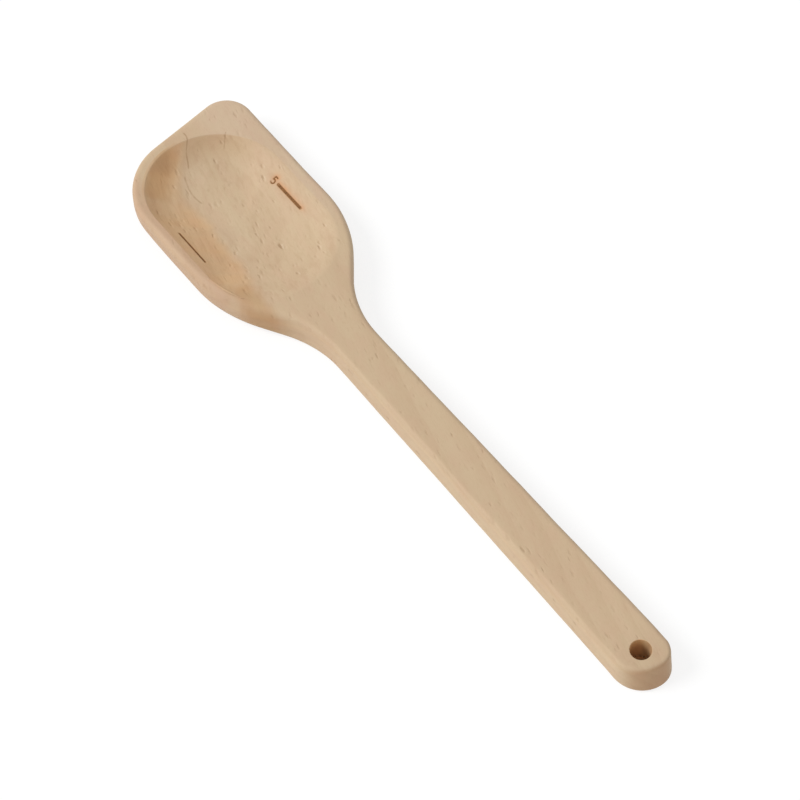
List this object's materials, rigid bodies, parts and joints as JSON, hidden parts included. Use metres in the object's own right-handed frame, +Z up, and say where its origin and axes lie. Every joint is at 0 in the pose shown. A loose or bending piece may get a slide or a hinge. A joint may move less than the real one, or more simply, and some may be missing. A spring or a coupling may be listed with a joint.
{
  "type": "wooden measuring spatula",
  "caption": "One-piece beech spatula with a spoon-like bowl in its flat slanted head, burned level marks, and a long handle with a hanging hole.",
  "frame": {"origin": "on the surface that the spatula rests on, under the middle of its box", "axes": "+X along the spatula from the handle towards the tip of the head, +Y to the left of someone who holds the handle and looks along +X, +Z up out of the bowl"},
  "size_m": [0.28, 0.0602, 0.012],
  "materials": {
    "beech": "sanded, matt, with a thin food-safe coat",
    "charred_beech": "burned, matt"
  },
  "bodies": {
    "root": {"spatula_body": "beech", "measure_line_left": "charred_beech", "measure_line_right": "charred_beech", "measure_number": "charred_beech"}
  },
  "joints": []
}
